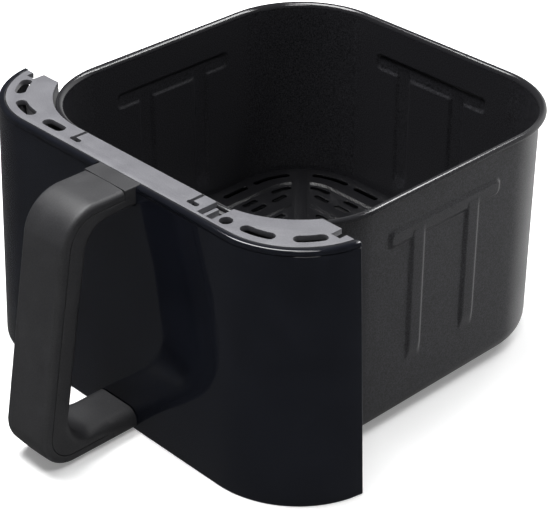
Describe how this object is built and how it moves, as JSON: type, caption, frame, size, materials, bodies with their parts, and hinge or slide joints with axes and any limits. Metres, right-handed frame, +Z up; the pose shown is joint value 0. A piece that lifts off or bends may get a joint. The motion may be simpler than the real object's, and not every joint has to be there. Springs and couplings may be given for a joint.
{
  "type": "air fryer drawer",
  "caption": "Square air fryer drawer: drawn steel pan with rolled rim, lift-out crisper plate, gloss moulded front and a loop handle.",
  "frame": {"origin": "centre of the flat pad on the underside of the pan, on the surface that the drawer stands on", "axes": "+Z up, -Y towards the handle and the user, +X to the right as seen from the front"},
  "size_m": [0.28, 0.316, 0.1512],
  "materials": {
    "nonstick_steel": "satin",
    "nonstick_plate": "gloss",
    "gloss_black": "gloss",
    "grey_plastic": "satin",
    "handle_plastic": "matte",
    "frame_plastic": "matte",
    "silicone": "matte",
    "zinc_steel": "zinc plated",
    "shield_metal": "bright"
  },
  "bodies": {
    "drawer": {"pan": "nonstick_steel", "pan_bracket": "zinc_steel", "bracket_nuts": "zinc_steel", "front_shell": "gloss_black", "gloss_skin": "gloss_black", "top_trim": "grey_plastic", "switch_tab": "grey_plastic", "inner_frame": "frame_plastic", "heat_shield": "shield_metal", "base_cover": "frame_plastic", "handle_inner": "handle_plastic", "handle_cover": "handle_plastic", "handle_backing_plate": "zinc_steel", "handle_top_screws": "zinc_steel", "handle_bottom_screws": "zinc_steel", "bracket_screws": "zinc_steel", "trim_screws": "zinc_steel", "base_screws": "zinc_steel"},
    "plate": {"crisper_plate": "nonstick_plate", "plate_bumper_1": "silicone", "plate_bumper_2": "silicone", "plate_bumper_3": "silicone", "plate_bumper_4": "silicone"}
  },
  "joints": [
    {"name": "plate_lift", "type": "slide", "parent": "drawer", "child": "plate", "axis": [0, 0, 1], "range_m": [0, 0.16]}
  ]
}
